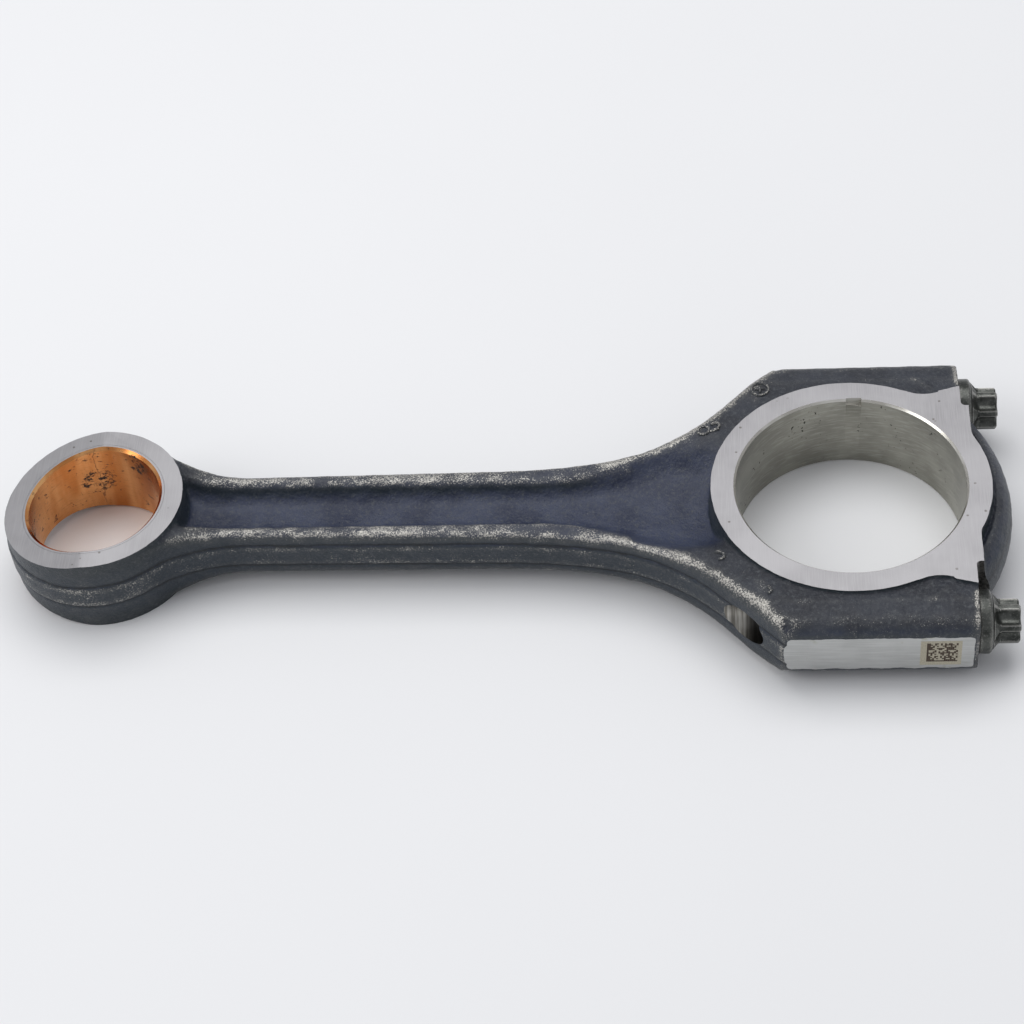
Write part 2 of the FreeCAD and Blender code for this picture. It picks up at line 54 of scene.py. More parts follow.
MOUNTS = {mount["name"]: mount for mount in frame["record"]["mounts"]}
EYE_X = MOUNTS["small_end_pin_bore"]["pos_m"][0] / MM
BORE_RADIUS = MOUNTS["big_end_bore"]["dims"]["r_mm"]
PIN_RADIUS = MOUNTS["small_end_pin_bore"]["dims"]["r_mm"]
FACE_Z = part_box("rod_body")[1].z / MM
PAD_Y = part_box("rod_body")[1].y / MM
SPINE_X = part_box("big_end_cap")[1].x / MM
BUSH_RADIUS = (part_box("small_end_bush")[1].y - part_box("small_end_bush")[0].y) / 2 / MM
BOLT_Y = sum(corner.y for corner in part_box("cap_bolt_rear")) / 2 / MM
BOLT_TIP_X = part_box("cap_bolt_rear")[0].x / MM
BOLT_END_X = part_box("cap_bolt_rear")[1].x / MM

EYE_RADIUS = 20.2
EYE_TAPER = math.tan(math.radians(9.1))
RING_RADIUS = 30.4
SEAT_X = 25.3
SEAT_WALL_Y = 22.7
FACE_OUTER_X = 26.95
WEB_Z = 2.0
PAD_STOCK = 1.2
PARTING_Z = 3.1

# Where the outline of the forging changes from one curve to the next, small end to big end.
NECK_X = -133.6
FLARE_X = -79.0
SHOULDER_X = -54.74
SLOPE_X = -28.76

# Grid that the forging is meshed on: half its width and height, and the spacing of its points.
GRID_HALF_Y = 41.5
GRID_HALF_Z = 12.6
GRID_STEP = 0.42
ROD_STEP_X = 0.75


# ---------------------------------------------------------------- forging shape

def smooth_min(a, b, blend):
    """Minimum of two fields with the corner rounded over `blend`."""
    near = np.maximum(blend - np.abs(a - b), 0.0) / blend
    return np.minimum(a, b) - near * near * blend * 0.25


def smooth_max(a, b, blend):
    return -smooth_min(-a, -b, blend)


def smooth_step(low, high, value):
    t = np.clip((value - low) / (high - low), 0.0, 1.0)
    return t * t * (3.0 - 2.0 * t)


def hollow_arc(x, centre_x, centre_y, radius):
    """Near side of a circle: the outline of a concave stretch."""
    return centre_y - np.sqrt(np.maximum(radius ** 2 - (x - centre_x) ** 2, 1.0))


def half_width(x):
    """Half width of the forging seen from above."""
    flank = 9.4 + (x + 133.02) * 0.01428
    neck = hollow_arc(x, NECK_X, 49.4, 40.0)
    flare = hollow_arc(x, FLARE_X, 150.19, 140.0)
    shoulder = hollow_arc(x, -63.06, 59.58, 48.0)
    slope = 25.99 + (x - SLOPE_X) * 1.0212
    width = np.where(x < NECK_X, neck, flank)
    width = np.where(x > FLARE_X, flare, width)
    width = np.where(x > SHOULDER_X, shoulder, width)
    width = np.where(x > SLOPE_X, slope, width)
    width = np.where(x < -156.4, 16.5, width)
    return smooth_min(width, PAD_Y + PAD_STOCK, 0.8)


def rib_height(x):
    """Height of the shank ribs above the middle plane."""
    neck_rise = 6.5 + 2.5 * np.clip((-134.0 - x) / 16.0, 0.0, 1.0) ** 2
    shoulder_rise = 6.0 + 3.0 * np.clip((x + 62.0) / 42.0, 0.0, 1.0) ** 2
    crest = 6.0 + 0.5 * np.clip((-62.0 - x) / 72.0, 0.0, 1.0)
    return np.maximum(np.maximum(neck_rise * (x < -134.0), shoulder_rise * (x > -62.0)), crest)


def parting_step(z):
    """How far the wall steps back above the trimmed flash band, with a groove beside it."""
    step = 0.22 * smooth_step(PARTING_Z - 0.5, PARTING_Z + 0.4, z)
    groove = 0.26 * np.exp(-((z - PARTING_Z) / 0.42) ** 2)
    return step + groove + 0.035 * np.maximum(z - PARTING_Z, 0.0)


def beam_field(x, y, z):
    """Shank, shoulders and the blocks around the bolts."""
    width = half_width(x)
    steepness = (half_width(x + 0.1) - half_width(x - 0.1)) / 0.2
    inset = (width - y) / np.sqrt(1.0 + steepness ** 2)
    height = rib_height(x) - 0.19 * np.maximum(y - 32.0, 0.0)
    side = parting_step(z) - inset
    bevel = smooth_step(-62.0, -24.0, x)
    bevel_inset = np.maximum(width - PAD_Y, 0.0)
    drop = 0.8 + 1.4 * smooth_step(PAD_Y - 1.0, PAD_Y + 1.0, width)
    edge = ((bevel_inset * bevel - inset) * 2.5 + (z - height + drop * bevel) * 2.1) / 3.27
    edge = edge - 1.0 * (1.0 - bevel)
    field = smooth_max(z - height, side, 1.8)
    field = smooth_max(field, edge, 1.2)
    field = np.maximum(field, EYE_X + 4.0 - x)
    cap_end = smooth_max(x - SEAT_X - 0.15, y - PAD_Y - 0.15, 2.2)
    return smooth_max(field, cap_end, 0.7)


def channel_field(x, y, z):
    """Long hollow between the ribs, negative inside."""
    flare = hollow_arc(x, -70.0, 74.6, 70.0)
    turn = 11.2 - 0.0138 * (x + 34.0) ** 2
    width = np.where(x > -70.0, flare, 4.6)
    width = np.where(x > -48.0, turn, width)
    walls = (y - width - (z - WEB_Z) * 0.36) * 0.94
    lift = 3.0 * np.clip((-139.0 - x) / 11.0, 0.0, 1.2) ** 2
    floor = WEB_Z + 0.35 * (y / 5.0) ** 2 + lift - z
    big_end = x + 27.5
    small_end = -151.5 - x
    field = smooth_max(walls, floor, 2.6)
    field = smooth_max(field, big_end, 5.0)
    return smooth_max(field, small_end, 5.0)


def eye_field(x, y, z):
    """Small end: a drum that swells towards the parting plane."""
    across = np.hypot(x - EYE_X, y)
    wall = across - EYE_RADIUS - 0.75 + 0.02 * z + parting_step(z)
    return smooth_max(wall, z - FACE_Z - 1.5, 0.6)


def big_end_boss_field(x, y, z):
    """Raised ring round the big end, waisted beside the bolt seats."""
    ring = np.hypot(x, y) - RING_RADIUS
    waist = hollow_arc(x, 17.4, 36.13, 9.7)
    horn = 27.45 + (x - 21.0) * 0.29
    outline = np.where(x > 20.6, horn, waist)
    ears = np.maximum(np.maximum(y - outline, x - FACE_OUTER_X), 13.0 - x)
    wall = smooth_min(ring, ears, 0.4) + 0.06 * (z - FACE_Z)
    return smooth_max(wall, z - FACE_Z - 1.5, 0.4)


def spine_field(x, y, z):
    """Crescent that stiffens the crown of the cap."""
    radius = 43.0
    outward = np.hypot(x - SPINE_X + radius, y) - radius
    bulge = ((outward + 6.0) / 6.0) ** 2 * (outward > -6.0)
    rim = np.sqrt(bulge + (z / 8.6) ** 2)
    section = (rim - 1.0) * 4.0
    dip = 0.7 * np.exp(-((outward + 4.9) / 0.9) ** 2)
    return smooth_max(section + dip, 15.0 - x, 1.0)


def ripple(x, y, z):
    """Slight unevenness that a drop forging has."""
    wave = np.sin(x * 0.9 + 1.3 * np.sin(y * 0.4)) * np.sin(y * 1.1 + 0.7 * np.sin(x * 0.31) + z)
    fine = np.sin(x * 2.3 + y * 1.7) * np.sin(y * 2.1 - x * 1.3 + 1.4 * z)
    return 0.035 * wave + 0.02 * fine


def forging_field(x, y, z):
    side = y
    y = np.abs(y)
    z_up = np.abs(z)
    beam = beam_field(x, y, z_up)
    body = smooth_max(beam, -channel_field(x, y, z_up), 1.4 + 3.6 * smooth_step(-64.0, -38.0, x))
    body = smooth_min(body, eye_field(x, y, z_up), 1.2)
    body = smooth_min(body, spine_field(x, y, z_up), 1.2)
    body = smooth_min(body, big_end_boss_field(x, y, z_up), 0.7)
    return body + ripple(x, side, z)


def surface_net(field, origin, steps):
    """Quad mesh of the zero level of a field sampled on a regular grid."""
    inside = field < 0.0
    corners = [(i, j, k) for i in (0, 1) for j in (0, 1) for k in (0, 1)]
    shape = tuple(n - 1 for n in field.shape)

    def corner_block(values, corner):
        i, j, k = corner
        return values[i:i + shape[0], j:j + shape[1], k:k + shape[2]]

    count = sum(corner_block(inside, corner).astype(np.int8) for corner in corners)
    active = (count > 0) & (count < 8)
    cells = np.argwhere(active)
    index = np.full(shape, -1, np.int64)
    index[active] = np.arange(len(cells))
    values = {
        corner: field[cells[:, 0] + corner[0], cells[:, 1] + corner[1], cells[:, 2] + corner[2]]
        for corner in corners
    }
    total = np.zeros((len(cells), 3))
    hits = np.zeros(len(cells))
    for start in corners:
        for axis in range(3):
            if start[axis]:
                continue
            end = tuple(1 if n == axis else start[n] for n in range(3))
            a, b = values[start], values[end]
            crossing = (a < 0) != (b < 0)
            along = np.where(crossing, a / np.where(crossing, a - b, 1.0), 0.0)
            spot = np.array(start, float)[None, :].repeat(len(cells), 0)
            spot[:, axis] = along
            total += spot * crossing[:, None]
            hits += crossing
    points = (cells + total / hits[:, None]) * np.array(steps) + np.array(origin)

    quads = []
    for axis in range(3):
        low = [slice(1, -1)] * 3
        high = [slice(1, -1)] * 3
        low[axis] = slice(0, -1)
        high[axis] = slice(1, None)
        first, second = inside[tuple(low)], inside[tuple(high)]
        for leaving in (True, False):
            edges = np.argwhere(first & ~second if leaving else ~first & second)
            edges += np.array([0 if n == axis else 1 for n in range(3)])
            u, v = [n for n in range(3) if n != axis]
            around = []
            for du, dv in ((0, 0), (-1, 0), (-1, -1), (0, -1)):
                cell = edges.copy()
                cell[:, u] += du
                cell[:, v] += dv
                around.append(index[cell[:, 0], cell[:, 1], cell[:, 2]])
            quad = np.stack(around, 1)
            if leaving == (axis == 1):
                quad = quad[:, ::-1]
            quads.append(quad)
    return points, np.concatenate(quads)


def settle(points):
    """Move points onto the exact surface of the forging."""
    points = points.copy()
    reach = 0.02
    for _ in range(3):
        x, y, z = points.T
        value = forging_field(x, y, z)
        slope = np.stack([
            forging_field(x + reach, y, z) - value,
            forging_field(x, y + reach, z) - value,
            forging_field(x, y, z + reach) - value,
        ], 1) / reach
        steep = np.maximum((slope ** 2).sum(1), 0.25)
        move = np.clip(-value / steep, -0.12, 0.12)
        points += slope * move[:, None]
    return points


def vertex_normals(points, quads):
    normals = np.zeros_like(points)
    across = np.cross(points[quads[:, 2]] - points[quads[:, 0]], points[quads[:, 3]] - points[quads[:, 1]])
    for column in range(4):
        np.add.at(normals, quads[:, column], across)
    return normals / np.maximum(np.linalg.norm(normals, axis=1), 1e-9)[:, None]


def neighbour_mean(values, quads, count):
    total = np.zeros_like(values)
    for column in range(4):
        following = quads[:, (column + 1) % 4]
        np.add.at(total, quads[:, column], values[following])
        np.add.at(total, following, values[quads[:, column]])
    return total / count[:, None]


def edge_wear_and_sheen(points, quads):
    """From 0 on flat and hollow metal to 1 on the sharpest outside edges; less on the crescent."""
    count = np.zeros(len(points))
    for column in range(4):
        np.add.at(count, quads[:, column], 2.0)
    normals = vertex_normals(points, quads)
    bend = points - neighbour_mean(points, quads, count)
    wear_and_sheen = np.einsum("ij,ij->i", bend, normals)[:, None] / GRID_STEP
    for _ in range(4):
        wear_and_sheen = neighbour_mean(wear_and_sheen, quads, count)
    # Less wear and less painted sheen on the cap's crescent.
    on_crescent = smooth_step(26.0, 29.0, points[:, 0])
    return np.clip(wear_and_sheen[:, 0] * 24.0, 0.0, 1.0) * (1.0 - 0.7 * on_crescent)


def forging_object(name, low_x, high_x, step_x):
    """Mesh of the forging between two places along X, with its edge wear and painted sheen."""
    x = np.arange(low_x, high_x, step_x, np.float32)[:, None, None]
    y = np.arange(-GRID_HALF_Y, GRID_HALF_Y + 0.1, GRID_STEP, np.float32)[None, :, None]
    z = np.arange(-GRID_HALF_Z, GRID_HALF_Z + 0.1, GRID_STEP, np.float32)[None, None, :]
    x, y, z = np.broadcast_arrays(x, y, z)
    field = forging_field(x, y, z)
    for border in (field[0], field[-1], field[:, 0], field[:, -1], field[:, :, 0], field[:, :, -1]):
        border[...] = np.maximum(border, 0.5 * GRID_STEP)
    origin = (float(x[0, 0, 0]), float(y[0, 0, 0]), float(z[0, 0, 0]))
    points, quads = surface_net(field, origin, (step_x, GRID_STEP, GRID_STEP))
    inner = (points[:, 0] > low_x + 1.0) & (points[:, 0] < high_x - 1.0)
    points[inner] = settle(points[inner])
    made = mesh_object(name, points, quads)
    wear_and_sheen = made.data.attributes.new("wear_and_sheen", "FLOAT", "POINT")
    wear_and_sheen.data.foreach_set("value", edge_wear_and_sheen(points, quads).astype(np.float32))
    return made


# ---------------------------------------------------------------- mesh helpers

def mesh_object(name, points, faces):
    """Object from points in millimetres."""
    mesh = bpy.data.meshes.new(name)
    mesh.from_pydata((np.asarray(points, float) * MM).tolist(), [], [list(face) for face in faces])
    mesh.update()
    made = bpy.data.objects.new(name, mesh)
    bpy.context.scene.collection.objects.link(made)
    return made


def prism(name, outline, low, high, axis="z"):
    """Closed prism along an axis; its outline gives the other two coordinates in order."""
    count = len(outline)
    points = []
    for level in (low, high):
        for pair in outline:
            point = list(pair)
            point.insert("xyz".index(axis), level)
            points.append(point)
    faces = [list(range(count)), list(range(count, 2 * count))]
    for i in range(count):
        j = (i + 1) % count
        faces.append([i, j, count + j, count + i])
    made = mesh_object(name, points, faces)
    face_outwards(made)
    return made


def block(name, low, high):
    outline = [(low[0], low[1]), (high[0], low[1]), (high[0], high[1]), (low[0], high[1])]
    return prism(name, outline, low[2], high[2])


def lathe(name, profile, centre, axis="z", segments=192):
    """Closed solid turned from (height, radius) pairs; the first and last radius are 0."""
    points = []
    rings = []
    for height, radius in profile:
        ring = []
        turns = segments if radius > 0 else 1
        for i in range(turns):
            angle = 2.0 * math.pi * i / segments
            u, v = radius * math.cos(angle), radius * math.sin(angle)
            offset = (u, v, height) if axis == "z" else (height, u, v)
            ring.append(len(points))
            points.append([c + o for c, o in zip(centre, offset)])
        rings.append(ring)
    faces = []
    for ring, following in zip(rings, rings[1:]):
        for i in range(segments):
            j = (i + 1) % segments
            corners = [ring[i % len(ring)], ring[j % len(ring)]]
            corners += [following[j % len(following)], following[i % len(following)]]
            faces.append(list(dict.fromkeys(corners)))
    made = mesh_object(name, points, faces)
    face_outwards(made)
    return made


def face_outwards(made):
    work = bmesh.new()
    work.from_mesh(made.data)
    bmesh.ops.recalc_face_normals(work, faces=work.faces)
    work.to_mesh(made.data)
    work.free()


def paint(made, *materials):
    made.data.materials.clear()
    for material in materials:
        made.data.materials.append(material)


def cut(made, cutters):
    """Machine a solid with cutters; each cut face takes its cutter's material."""
    for cutter in cutters:
        step = made.modifiers.new("cut", "BOOLEAN")
        step.operation = "DIFFERENCE"
        step.solver = "MANIFOLD"
        step.object = cutter
        step.material_mode = "TRANSFER"
    graph = bpy.context.evaluated_depsgraph_get()
    mesh = bpy.data.meshes.new_from_object(made.evaluated_get(graph), depsgraph=graph)
    made.modifiers.clear()
    made.data = mesh
    for cutter in cutters:
        bpy.data.objects.remove(cutter)


def smooth_between_edges(made, degrees=35.0):
    """Shade smooth, with hard edges at sharp corners."""
    mesh = made.data
    mesh.shade_smooth()
    mesh.set_sharp_from_angle(angle=math.radians(degrees))


# ---------------------------------------------------------------- materials

def node(tree, kind, inputs=None, **settings):
    made = tree.nodes.new(kind)
    for name, value in settings.items():
        setattr(made, name, value)
    for name, value in (inputs or {}).items():
        socket = made.inputs[name]
        if isinstance(value, bpy.types.NodeSocket):
            tree.links.new(value, socket)
        else:
            socket.default_value = value
    return made


def calc(tree, operation, a, b=0.0):
    return node(tree, "ShaderNodeMath", {0: a, 1: b}, operation=operation).outputs[0]


def axis_of(tree, vector, axis):
    """One coordinate of a vector."""
    return node(tree, "ShaderNodeSeparateXYZ", {0: vector}).outputs[axis]


def object_place(tree):
    return node(tree, "ShaderNodeTexCoord").outputs["Object"]


def position(tree, stretch=(1.0, 1.0, 1.0), tilt=(0.0, 0.0, 0.0)):
    spot = object_place(tree)
    turned = node(tree, "ShaderNodeMapping", {"Vector": spot, "Rotation": tilt})
    return node(tree, "ShaderNodeMapping", {"Vector": turned.outputs[0], "Scale": stretch}).outputs[0]


def noise(tree, size_mm, where=None, detail=4.0, roughness=0.55):
    """Noise whose blotches are about size_mm across."""
    vector = where or position(tree)
    made = node(tree, "ShaderNodeTexNoise", {
        "Vector": vector, "Scale": 1.0 / (size_mm * MM), "Detail": detail, "Roughness": roughness,
    })
    return made.outputs["Fac"]


def band(tree, value, low, high):
    """0 below low, 1 above high, smooth between."""
    made = node(tree, "ShaderNodeMapRange", {
        "Value": value, "From Min": low, "From Max": high,
    }, interpolation_type="SMOOTHSTEP")
    return made.outputs["Result"]


def mix(tree, factor, first, second):
    made = node(tree, "ShaderNodeMix", data_type="RGBA")
    settings = ((made.inputs["Factor"], factor), (made.inputs[6], first), (made.inputs[7], second))
    for socket, value in settings:
        if isinstance(value, bpy.types.NodeSocket):
            tree.links.new(value, socket)
        else:
            socket.default_value = value if isinstance(value, float) else (*value, 1.0)[:4]
    return made.outputs[2]


def blend_values(tree, factor, first, second):
    made = node(tree, "ShaderNodeMix", {0: factor, 2: first, 3: second}, data_type="FLOAT")
    return made.outputs[0]


def new_material(name):
    material = bpy.data.materials.new(name)
    material.use_nodes = True
    tree = material.node_tree
    return material, tree, tree.nodes["Principled BSDF"]


def bump(tree, height, depth_mm, strength=1.0, under=None):
    inputs = {"Height": height, "Distance": depth_mm * MM, "Strength": strength}
    if under is not None:
        inputs["Normal"] = under
    return node(tree, "ShaderNodeBump", inputs).outputs["Normal"]


def link(tree, socket, target):
    tree.links.new(socket, target)


def scale_colour(tree, height, upright, grain):
    """Blue-black in the hollows, blacker on the crown, greener on upright walls."""
    cloudy = band(tree, noise(tree, 9.0, detail=5.0), 0.35, 0.65)
    crown = mix(tree, cloudy, (0.006, 0.008, 0.015), (0.019, 0.023, 0.034))
    hollow = mix(tree, cloudy, (0.012, 0.018, 0.044), (0.032, 0.041, 0.076))
    colour = mix(tree, band(tree, height, 8.0 * MM, 5.0 * MM), crown, hollow)
    colour = mix(tree, calc(tree, "MULTIPLY", upright, 0.8), colour, (0.018, 0.027, 0.033))
    return mix(tree, band(tree, grain, 0.46, 0.78), colour, (0.064, 0.070, 0.078))


def parting_groove_shade(tree, height, upright):
    """Painted shade: a dark wavy line along the groove beside the trimmed flash band, on upright walls."""
    wander = calc(tree, "MULTIPLY", calc(tree, "SUBTRACT", noise(tree, 5.0), 0.5), 1.4 * MM)
    above = calc(tree, "SUBTRACT", calc(tree, "ADD", height, wander), 3.2 * MM)
    line = band(tree, calc(tree, "ABSOLUTE", above), 0.5 * MM, 0.1 * MM)
    return calc(tree, "MULTIPLY", line, upright)


def bare_flecks(tree, wear_and_sheen, height, upright):
    """Flecks of bare metal, thickest along worn edges and on the flash band."""
    flash = calc(tree, "MULTIPLY", band(tree, height, 3.3 * MM, 2.6 * MM), upright)
    share = calc(tree, "SUBTRACT", 0.265, calc(tree, "MULTIPLY", upright, 0.12))
    exposed = calc(tree, "ADD", calc(tree, "MULTIPLY", wear_and_sheen, share), calc(tree, "MULTIPLY", flash, 0.075))
    patch = calc(tree, "MULTIPLY", calc(tree, "SUBTRACT", noise(tree, 5.0, detail=5.0), 0.5), 0.24)
    limit = calc(tree, "SUBTRACT", calc(tree, "SUBTRACT", 0.692, exposed), patch)
    fleck = noise(tree, 0.32, detail=4.0, roughness=0.7)
    return band(tree, calc(tree, "SUBTRACT", fleck, limit), 0.0, 0.12)


def forged_scale():
    """Blue-black forging scale, rubbed bright in flecks along the outside edges, with a painted sheen
    greying those edges.
    """
    material, tree, shader = new_material("forged_scale")
    height = calc(tree, "ABSOLUTE", axis_of(tree, object_place(tree), "Z"))
    normal = node(tree, "ShaderNodeNewGeometry").outputs["Normal"]
    upright = band(tree, calc(tree, "ABSOLUTE", axis_of(tree, normal, "Z")), 0.75, 0.35)
    wear_and_sheen = node(tree, "ShaderNodeAttribute", attribute_name="wear_and_sheen").outputs["Fac"]
    grain = noise(tree, 0.8, detail=6.0, roughness=0.7)

    colour = scale_colour(tree, height, upright, grain)
    # Painted shade darkens the parting groove to near black.
    line = calc(tree, "MULTIPLY", parting_groove_shade(tree, height, upright), 0.7)
    colour = mix(tree, line, colour, (0.004, 0.005, 0.006))
    # Painted sheen: outside edges lightened towards grey by the wear measure.
    colour = mix(tree, calc(tree, "MULTIPLY", wear_and_sheen, 0.45), colour, (0.090, 0.091, 0.088))
    bright = bare_flecks(tree, wear_and_sheen, height, upright)
    metal = mix(tree, grain, (0.17, 0.165, 0.15), (0.74, 0.71, 0.65))
    colour = mix(tree, bright, colour, metal)

    link(tree, colour, shader.inputs["Base Color"])
    link(tree, blend_values(tree, bright, 0.40, 0.32), shader.inputs["Roughness"])
    link(tree, calc(tree, "MULTIPLY", bright, 0.7), shader.inputs["Metallic"])
    shader.inputs["Specular IOR Level"].default_value = 0.42
    under = bump(tree, noise(tree, 2.4, detail=3.0), 0.35, 0.7)
    pits = noise(tree, 0.55, detail=5.0, roughness=0.7)
    link(tree, bump(tree, pits, 0.22, 0.9, under), shader.inputs["Normal"])
    return material


def milled_face():
    """Ground side face: fine lines, dark specks and faint clouds."""
    material, tree, shader = new_material("milled_face")
    lines = noise(tree, 0.25, position(tree, (1.0, 0.03, 1.0)), detail=3.0)
    cloud = noise(tree, 14.0, detail=3.0)
    colour = mix(tree, band(tree, cloud, 0.3, 0.7), (0.275, 0.268, 0.275), (0.34, 0.332, 0.34))
    streak = calc(tree, "MULTIPLY", band(tree, lines, 0.35, 0.75), 0.5)
    colour = mix(tree, streak, colour, (0.39, 0.382, 0.39))
    spots = node(tree, "ShaderNodeTexVoronoi", {"Vector": position(tree), "Scale": 1 / (3.4 * MM)})
    ragged = calc(tree, "ADD", spots.outputs["Distance"], calc(tree, "MULTIPLY", noise(tree, 0.5), 0.12))
    gate = band(tree, noise(tree, 6.0), 0.42, 0.50)
    speck = calc(tree, "MULTIPLY", band(tree, ragged, 0.17, 0.12), gate)
    colour = mix(tree, calc(tree, "MULTIPLY", speck, 0.75), colour, (0.10, 0.085, 0.075))
    link(tree, colour, shader.inputs["Base Color"])
    shader.inputs["Metallic"].default_value = 0.75
    link(tree, blend_values(tree, lines, 0.36, 0.5), shader.inputs["Roughness"])
    link(tree, bump(tree, lines, 0.01, 0.5), shader.inputs["Normal"])
    return material


def bored_wall():
    """Big-end bore: olive grey with fine arcs from the boring tool and oil specks."""
    material, tree, shader = new_material("bored_wall")
    arcs = noise(tree, 0.4, position(tree, (0.10, 0.10, 1.0), (0.14, 0.10, 0.0)), detail=4.0)
    cloud = noise(tree, 11.0, detail=4.0)
    colour = mix(tree, band(tree, cloud, 0.35, 0.65), (0.27, 0.265, 0.23), (0.36, 0.355, 0.31))
    shine = calc(tree, "MULTIPLY", band(tree, arcs, 0.45, 0.8), 0.6)
    colour = mix(tree, shine, colour, (0.54, 0.53, 0.48))
    fleck = noise(tree, 0.9, detail=3.0)
    gate = band(tree, noise(tree, 9.0), 0.50, 0.62)
    dirt = calc(tree, "MULTIPLY", band(tree, fleck, 0.63, 0.68), gate)
    colour = mix(tree, dirt, colour, (0.02, 0.018, 0.015))
    link(tree, colour, shader.inputs["Base Color"])
    shader.inputs["Metallic"].default_value = 0.8
    link(tree, blend_values(tree, arcs, 0.24, 0.42), shader.inputs["Roughness"])
    link(tree, bump(tree, arcs, 0.02, 0.5), shader.inputs["Normal"])
    return material


def bright_cut():
    """Freshly cut chamfers and hole walls."""
    material, tree, shader = new_material("bright_cut")
    lines = noise(tree, 1.5, position(tree, (0.2, 0.2, 1.0)), detail=3.0)
    colour = mix(tree, band(tree, lines, 0.35, 0.7), (0.50, 0.48, 0.43), (0.70, 0.68, 0.63))
    link(tree, colour, shader.inputs["Base Color"])
    shader.inputs["Metallic"].default_value = 0.9
    link(tree, blend_values(tree, lines, 0.2, 0.36), shader.inputs["Roughness"])
    link(tree, bump(tree, lines, 0.01, 0.4), shader.inputs["Normal"])
    return material


def drilled_hole():
    """Bolt hole where it breaks out of the shoulder: bright at its mouth, darkened further in as painted
    shade.
    """
    material, tree, shader = new_material("drilled_hole")
    rings = noise(tree, 0.7, position(tree, (1.0, 0.04, 0.04)), detail=3.0)
    colour = mix(tree, band(tree, rings, 0.35, 0.7), (0.16, 0.15, 0.13), (0.62, 0.60, 0.55))
    # Painted shade: the wall fades to near black as X rises from -24.2 mm to -20.5 mm.
    along = axis_of(tree, object_place(tree), "X")
    depth = calc(tree, "ADD", along, calc(tree, "MULTIPLY", rings, 1.5 * MM))
    inside = band(tree, depth, -24.2 * MM, -20.5 * MM)
    colour = mix(tree, calc(tree, "MULTIPLY", inside, 0.93), colour, (0.012, 0.011, 0.010))
    link(tree, colour, shader.inputs["Base Color"])
    shader.inputs["Metallic"].default_value = 0.7
    link(tree, blend_values(tree, rings, 0.26, 0.45), shader.inputs["Roughness"])
    link(tree, bump(tree, rings, 0.03, 0.5), shader.inputs["Normal"])
    return material


def ground_pad():
    """Ground side pad: pale, with fine lines along the rod and a little staining."""
    material, tree, shader = new_material("ground_pad")
    lines = noise(tree, 0.3, position(tree, (0.03, 1.0, 1.0)), detail=4.0)
    cloud = noise(tree, 7.0, detail=4.0)
    colour = mix(tree, band(tree, cloud, 0.3, 0.7), (0.40, 0.405, 0.395), (0.47, 0.475, 0.465))
    colour = mix(tree, band(tree, lines, 0.35, 0.8), colour, (0.54, 0.545, 0.535))
    stain = band(tree, noise(tree, 4.0, detail=3.0), 0.62, 0.70)
    colour = mix(tree, calc(tree, "MULTIPLY", stain, 0.5), colour, (0.34, 0.34, 0.26))
    link(tree, colour, shader.inputs["Base Color"])
    shader.inputs["Metallic"].default_value = 0.7
    link(tree, blend_values(tree, lines, 0.34, 0.46), shader.inputs["Roughness"])
    link(tree, bump(tree, lines, 0.01, 0.4), shader.inputs["Normal"])
    return material


def seat_cut():
    """Spot-faced bolt seats: machined steel, kept dark all over as painted shade."""
    material, tree, shader = new_material("seat_cut")
    grain = noise(tree, 0.8, detail=5.0)
    # Painted shade: both grain colours of the seat are kept near black.
    colour = mix(tree, band(tree, grain, 0.35, 0.65), (0.05, 0.048, 0.045), (0.17, 0.165, 0.155))
    link(tree, colour, shader.inputs["Base Color"])
    shader.inputs["Metallic"].default_value = 0.7
    link(tree, blend_values(tree, grain, 0.3, 0.5), shader.inputs["Roughness"])
    link(tree, bump(tree, grain, 0.03, 0.5), shader.inputs["Normal"])
    return material


def cracked_split():
    """Granular grey face left where the cap was cracked off the rod."""
    material, tree, shader = new_material("cracked_split")
    grain = noise(tree, 0.7, detail=8.0, roughness=0.75)
    colour = mix(tree, band(tree, grain, 0.3, 0.7), (0.16, 0.16, 0.165), (0.46, 0.46, 0.47))
    link(tree, colour, shader.inputs["Base Color"])
    shader.inputs["Metallic"].default_value = 0.6
    link(tree, blend_values(tree, grain, 0.4, 0.7), shader.inputs["Roughness"])
    link(tree, bump(tree, grain, 0.25, 0.9), shader.inputs["Normal"])
    return material


def oil_smears(tree):
    """Ragged black oil, thickest at three places on the wall of the bush."""
    smear = noise(tree, 1.9, position(tree, (1.0, 1.0, 1.4)), detail=8.0, roughness=0.78)
    region = calc(tree, "MULTIPLY", band(tree, noise(tree, 10.0, detail=2.0), 0.42, 0.62), 0.04)
    for x, y, z, reach in ((-3.0, 15.0, 0.0, 7.0), (8.0, 12.5, 6.5, 6.0), (-14.0, -3.0, 1.0, 4.5)):
        centre = ((EYE_X + x) * MM, y * MM, z * MM)
        away = node(tree, "ShaderNodeVectorMath", {
            0: object_place(tree), 1: centre,
        }, operation="DISTANCE").outputs["Value"]
        near = calc(tree, "MULTIPLY", band(tree, away, reach * MM, 1.0 * MM), 0.12)
        region = calc(tree, "MAXIMUM", region, near)
    return band(tree, calc(tree, "ADD", smear, region), 0.60, 0.66)


def bush_seam(tree):
    """Thin kinked joint line where the rolled bush closes, on its rear half."""
    spot = object_place(tree)
    kink = calc(tree, "SUBTRACT", noise(tree, 2.2, detail=5.0), 0.5)
    from_seam = calc(tree, "SUBTRACT", axis_of(tree, spot, "X"), (EYE_X - 2.4) * MM)
    off_seam = calc(tree, "ADD", from_seam, calc(tree, "MULTIPLY", kink, 2.6 * MM))
    line = band(tree, calc(tree, "ABSOLUTE", off_seam), 0.10 * MM, 0.03 * MM)
    return calc(tree, "MULTIPLY", line, band(tree, axis_of(tree, spot, "Y"), 8.0 * MM, 10.0 * MM))


